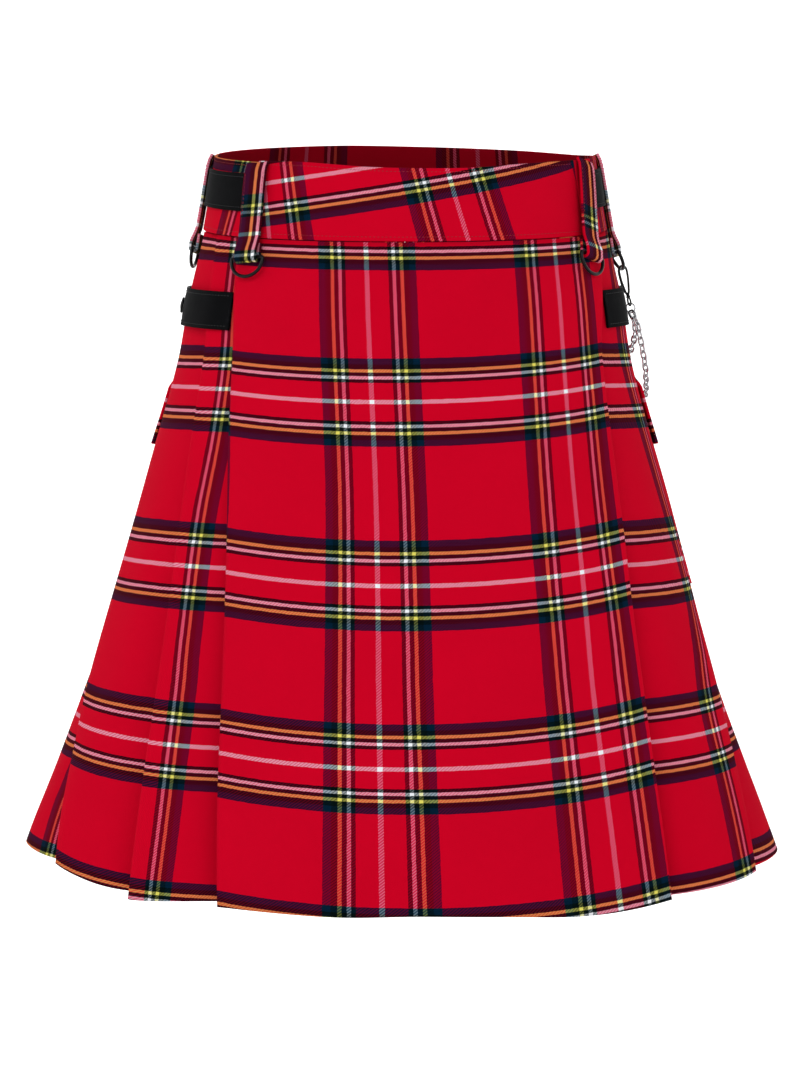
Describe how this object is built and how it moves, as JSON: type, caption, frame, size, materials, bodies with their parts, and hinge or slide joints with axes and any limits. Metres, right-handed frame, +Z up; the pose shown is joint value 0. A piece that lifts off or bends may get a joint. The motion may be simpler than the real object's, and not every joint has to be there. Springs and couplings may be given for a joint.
{
  "type": "scottish kilt",
  "caption": "Tartan kilt in its worn shape, with wrapped aprons, knife pleats, leather straps, flapped side pockets, belt loops holding D-rings, and a double chain on snap hooks.",
  "frame": {"origin": "centre of the waist opening, about halfway up the waistband, where the wearer's waist holds the kilt", "axes": "+Z up along the wearer's body, front towards -Y, the wearer's left towards +X"},
  "size_m": [0.6449, 0.4243, 0.6591],
  "materials": {
    "tartan_cloth": "matt twill, red with a maroon, navy, yellow, white and pink check",
    "black_leather": "smooth black leather with a low sheen",
    "black_metal": "glossy black plated steel",
    "bright_steel": "bright polished steel"
  },
  "bodies": {
    "kilt": {"front_apron": "tartan_cloth", "under_apron": "tartan_cloth", "pleats_left": "tartan_cloth", "pleats_right": "tartan_cloth", "yoke_front": "tartan_cloth", "waistband": "tartan_cloth", "loop_front_left": "tartan_cloth", "loop_front_right": "tartan_cloth", "loop_side_left": "tartan_cloth", "loop_side_right": "tartan_cloth", "loop_back_left": "tartan_cloth", "loop_back_right": "tartan_cloth", "pocket_left": "tartan_cloth", "pocket_right": "tartan_cloth", "flap_left": "tartan_cloth", "flap_right": "tartan_cloth", "strap_left_upper": "black_leather", "strap_right_upper": "black_leather", "strap_left_lower": "black_leather", "strap_right_lower": "black_leather", "stud_left_upper": "black_metal", "stud_right_upper": "black_metal", "stud_left_lower": "black_metal", "stud_right_lower": "black_metal", "ring_side_right": "black_metal", "ring_back_right": "black_metal", "hook_side": "black_metal", "hook_back": "black_metal", "split_ring_side": "bright_steel", "split_ring_back": "bright_steel", "chain_short": "bright_steel", "chain_long": "bright_steel"},
    "ring_front_left": {"ring_front_left": "black_metal"},
    "ring_front_right": {"ring_front_right": "black_metal"},
    "ring_side_left": {"ring_side_left": "black_metal"},
    "ring_back_left": {"ring_back_left": "black_metal"}
  },
  "joints": [
    {"name": "ring_front_left_swing", "type": "hinge", "parent": "kilt", "child": "ring_front_left", "pos_m": [-0.13197, -0.09831, -0.06257], "axis": [-0.7881, 0.6154, -0.0153], "range_deg": [0, 110]},
    {"name": "ring_front_right_swing", "type": "hinge", "parent": "kilt", "child": "ring_front_right", "pos_m": [0.15748, -0.07285, -0.05872], "axis": [-0.5738, -0.8025, 0.1635], "range_deg": [0, 110]},
    {"name": "ring_side_left_swing", "type": "hinge", "parent": "kilt", "child": "ring_side_left", "pos_m": [-0.18138, 0.01312, -0.04607], "axis": [0.1115, 0.9938, 0.0036], "range_deg": [0, 110]},
    {"name": "ring_back_left_swing", "type": "hinge", "parent": "kilt", "child": "ring_back_left", "pos_m": [-0.08897, 0.12538, -0.02858], "axis": [0.9118, 0.4104, 0.0125], "range_deg": [0, 110]}
  ]
}
